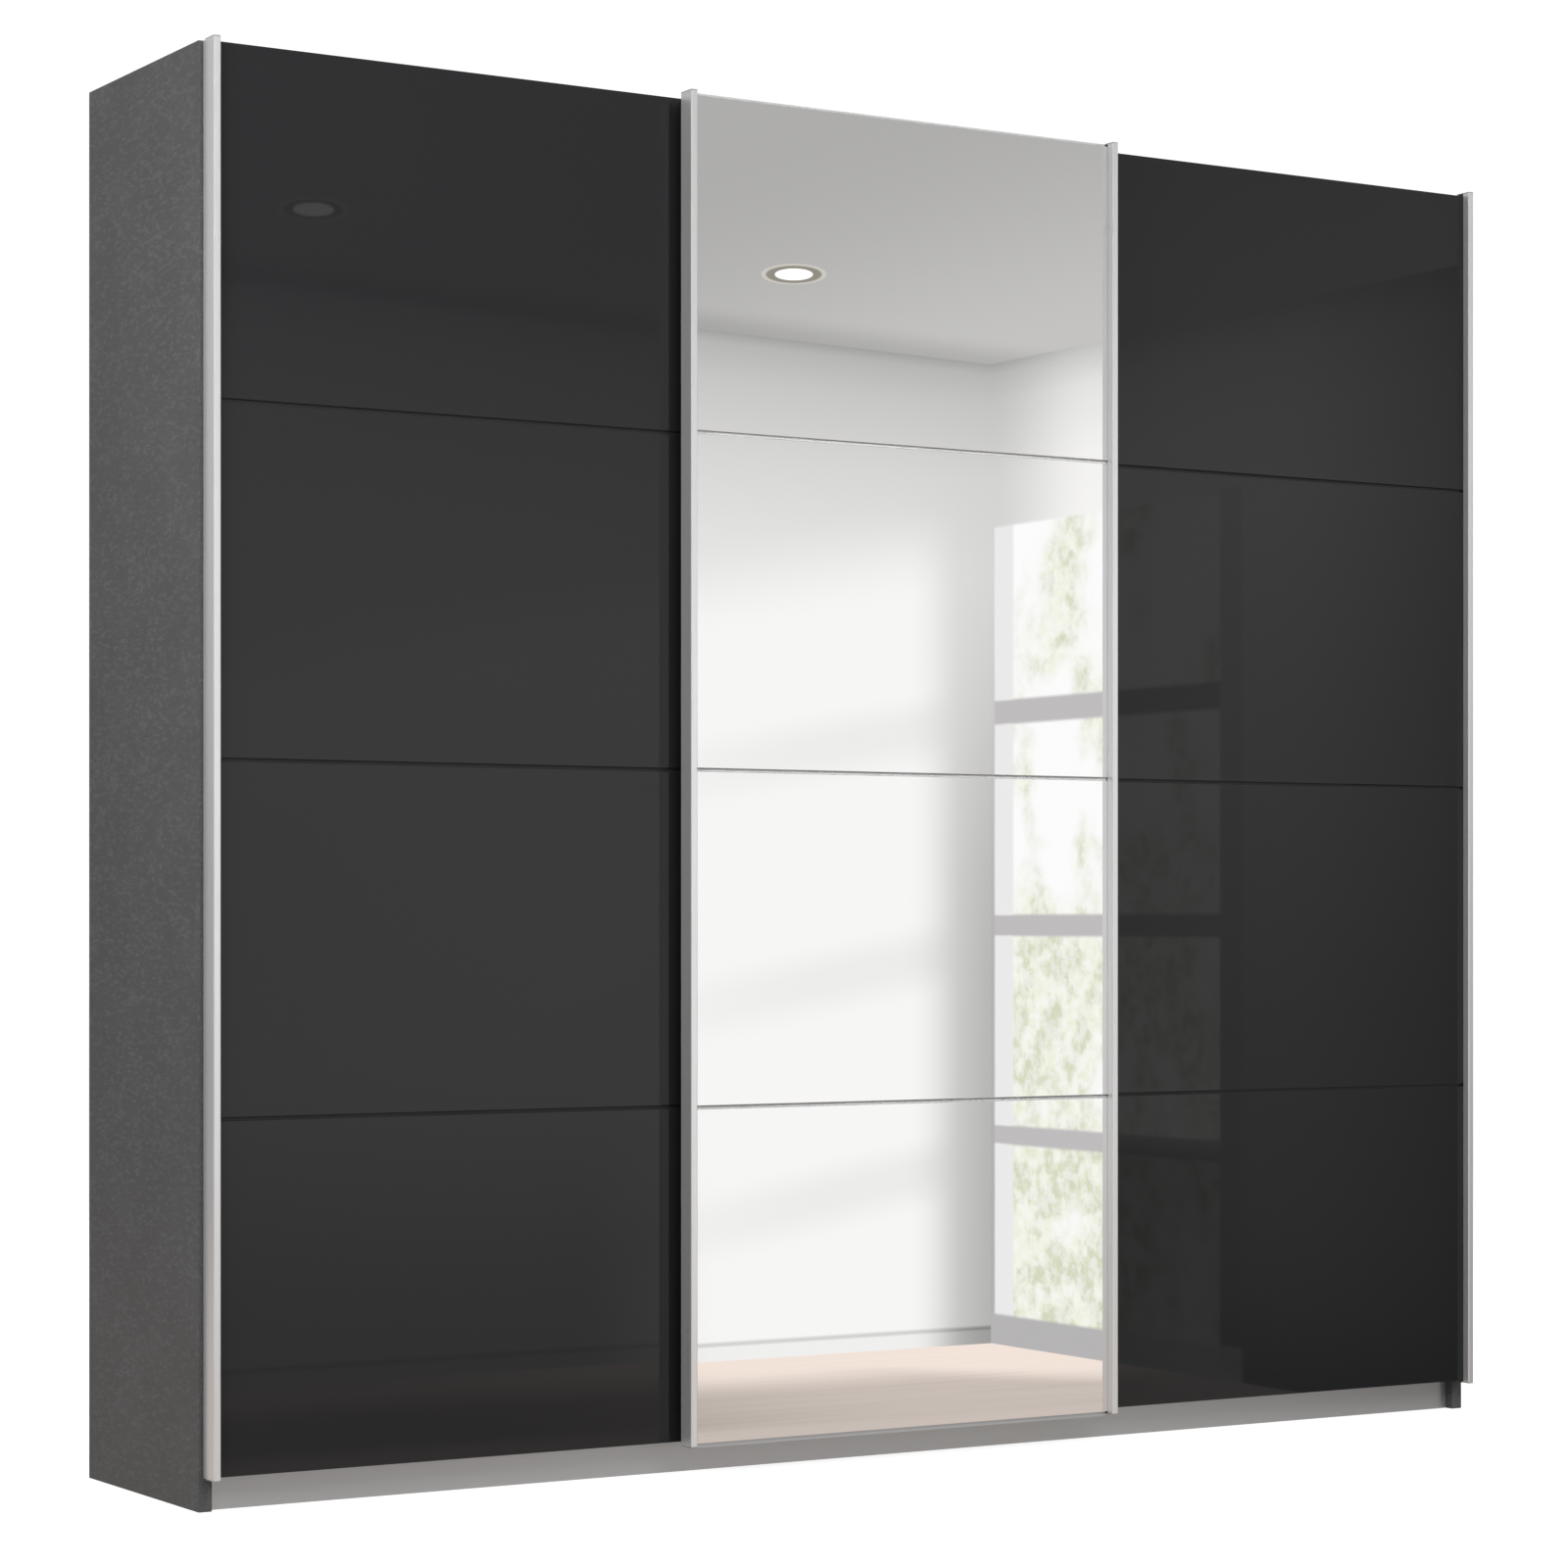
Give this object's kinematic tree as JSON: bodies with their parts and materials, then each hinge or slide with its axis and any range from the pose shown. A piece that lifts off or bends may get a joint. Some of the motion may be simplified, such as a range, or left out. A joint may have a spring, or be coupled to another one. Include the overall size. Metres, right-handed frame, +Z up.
{
  "type": "sliding door wardrobe",
  "caption": "Wide wardrobe with three bays behind top-hung sliding doors: dark glass outer doors, a mirror middle door and slim aluminium stiles.",
  "frame": {"origin": "on the floor, at the centre of the whole outline with the doors closed", "axes": "+X to the right along the front, +Y from the doors to the back panel, +Z up"},
  "size_m": [2.5, 0.5246, 2.2338],
  "materials": {
    "graphite_board": "graphite melamine on chipboard, fine pearly speckle, matt",
    "interior_board": "light grey textile-print melamine, matt",
    "back_board": "printed hardboard",
    "plinth_foil": "aluminium-coloured foil on chipboard, satin",
    "satin_aluminium": "satin anodised",
    "raw_aluminium": "mill finish",
    "dark_glass": "back-lacquered graphite glass, polished",
    "mirror_glass": "silvered glass",
    "door_core": "dark melamine",
    "mirror_core": "grey melamine",
    "zinc_steel": "zinc plated",
    "chrome_steel": "chrome plated tube",
    "roller_plastic": "natural acetal",
    "guide_plastic": "black nylon"
  },
  "bodies": {
    "carcass": {"side_panel_left": "graphite_board", "side_panel_right": "graphite_board", "partition_left": "interior_board", "partition_right": "interior_board", "top_panel": "interior_board", "bottom_panel_left": "interior_board", "bottom_panel_middle": "interior_board", "bottom_panel_right": "interior_board", "back_panel_left": "back_board", "back_panel_middle": "back_board", "back_panel_right": "back_board", "plinth_front": "plinth_foil", "plinth_rear": "interior_board", "top_track": "raw_aluminium", "bottom_track": "raw_aluminium", "shelf_left": "interior_board", "shelf_middle": "interior_board", "shelf_right": "interior_board", "hanging_rail_left": "chrome_steel", "hanging_rail_middle": "chrome_steel", "hanging_rail_right": "chrome_steel"},
    "door_left": {"door_left_board": "door_core", "door_left_pane_1": "dark_glass", "door_left_pane_2": "dark_glass", "door_left_pane_3": "dark_glass", "door_left_pane_4": "dark_glass", "door_left_stile_left": "satin_aluminium", "door_left_stile_right": "satin_aluminium", "door_left_hanger_left": "zinc_steel", "door_left_hanger_right": "zinc_steel"},
    "door_middle": {"door_middle_board": "mirror_core", "door_middle_pane_1": "mirror_glass", "door_middle_pane_2": "mirror_glass", "door_middle_pane_3": "mirror_glass", "door_middle_pane_4": "mirror_glass", "door_middle_stile_left": "satin_aluminium", "door_middle_stile_right": "satin_aluminium", "door_middle_hanger_left": "zinc_steel", "door_middle_hanger_right": "zinc_steel"},
    "door_right": {"door_right_board": "door_core", "door_right_pane_1": "dark_glass", "door_right_pane_2": "dark_glass", "door_right_pane_3": "dark_glass", "door_right_pane_4": "dark_glass", "door_right_stile_left": "satin_aluminium", "door_right_stile_right": "satin_aluminium", "door_right_hanger_left": "zinc_steel", "door_right_hanger_right": "zinc_steel"},
    "door_left_roller_left": {"door_left_roller_left": "roller_plastic"},
    "door_left_guide_left": {"door_left_guide_left": "guide_plastic"},
    "door_left_roller_right": {"door_left_roller_right": "roller_plastic"},
    "door_left_guide_right": {"door_left_guide_right": "guide_plastic"},
    "door_middle_roller_left": {"door_middle_roller_left": "roller_plastic"},
    "door_middle_guide_left": {"door_middle_guide_left": "guide_plastic"},
    "door_middle_roller_right": {"door_middle_roller_right": "roller_plastic"},
    "door_middle_guide_right": {"door_middle_guide_right": "guide_plastic"},
    "door_right_roller_left": {"door_right_roller_left": "roller_plastic"},
    "door_right_guide_left": {"door_right_guide_left": "guide_plastic"},
    "door_right_roller_right": {"door_right_roller_right": "roller_plastic"},
    "door_right_guide_right": {"door_right_guide_right": "guide_plastic"}
  },
  "joints": [
    {"name": "door_left_slide", "type": "slide", "parent": "carcass", "child": "door_left", "axis": [1, 0, 0], "range_m": [0, 0.79]},
    {"name": "door_middle_slide", "type": "slide", "parent": "carcass", "child": "door_middle", "axis": [1, 0, 0], "range_m": [-0.809, 0.831]},
    {"name": "door_right_slide", "type": "slide", "parent": "carcass", "child": "door_right", "axis": [1, 0, 0], "range_m": [-0.79, 0]},
    {"name": "door_left_roller_left_spin", "type": "hinge", "parent": "door_left", "child": "door_left_roller_left", "pos_m": [-1.153, -0.16475, 2.2002], "axis": [0, 1, 0], "continuous": true},
    {"name": "door_left_guide_left_slide", "type": "slide", "parent": "door_left", "child": "door_left_guide_left", "axis": [0, 0, 1], "range_m": [0, 0.018]},
    {"name": "door_left_roller_right_spin", "type": "hinge", "parent": "door_left", "child": "door_left_roller_right", "pos_m": [-0.487, -0.16475, 2.2002], "axis": [0, 1, 0], "continuous": true},
    {"name": "door_left_guide_right_slide", "type": "slide", "parent": "door_left", "child": "door_left_guide_right", "axis": [0, 0, 1], "range_m": [0, 0.018]},
    {"name": "door_middle_roller_left_spin", "type": "hinge", "parent": "door_middle", "child": "door_middle_roller_left", "pos_m": [-0.344, -0.13475, 2.2002], "axis": [0, 1, 0], "continuous": true},
    {"name": "door_middle_guide_left_slide", "type": "slide", "parent": "door_middle", "child": "door_middle_guide_left", "axis": [0, 0, 1], "range_m": [-0.016, 0]},
    {"name": "door_middle_roller_right_spin", "type": "hinge", "parent": "door_middle", "child": "door_middle_roller_right", "pos_m": [0.322, -0.13475, 2.2002], "axis": [0, 1, 0], "continuous": true},
    {"name": "door_middle_guide_right_slide", "type": "slide", "parent": "door_middle", "child": "door_middle_guide_right", "axis": [0, 0, 1], "range_m": [-0.016, 0]},
    {"name": "door_right_roller_left_spin", "type": "hinge", "parent": "door_right", "child": "door_right_roller_left", "pos_m": [0.487, -0.16475, 2.2002], "axis": [0, 1, 0], "continuous": true},
    {"name": "door_right_guide_left_slide", "type": "slide", "parent": "door_right", "child": "door_right_guide_left", "axis": [0, 0, 1], "range_m": [0, 0.018]},
    {"name": "door_right_roller_right_spin", "type": "hinge", "parent": "door_right", "child": "door_right_roller_right", "pos_m": [1.153, -0.16475, 2.2002], "axis": [0, 1, 0], "continuous": true},
    {"name": "door_right_guide_right_slide", "type": "slide", "parent": "door_right", "child": "door_right_guide_right", "axis": [0, 0, 1], "range_m": [0, 0.018]}
  ],
  "couplings": [
    {"joint": "door_left_roller_left_spin", "follows": "door_left_slide", "rad_per_m": 83.333},
    {"joint": "door_left_roller_right_spin", "follows": "door_left_slide", "rad_per_m": 83.333},
    {"joint": "door_middle_roller_left_spin", "follows": "door_middle_slide", "rad_per_m": 83.333},
    {"joint": "door_middle_roller_right_spin", "follows": "door_middle_slide", "rad_per_m": 83.333},
    {"joint": "door_right_roller_left_spin", "follows": "door_right_slide", "rad_per_m": 83.333},
    {"joint": "door_right_roller_right_spin", "follows": "door_right_slide", "rad_per_m": 83.333}
  ]
}
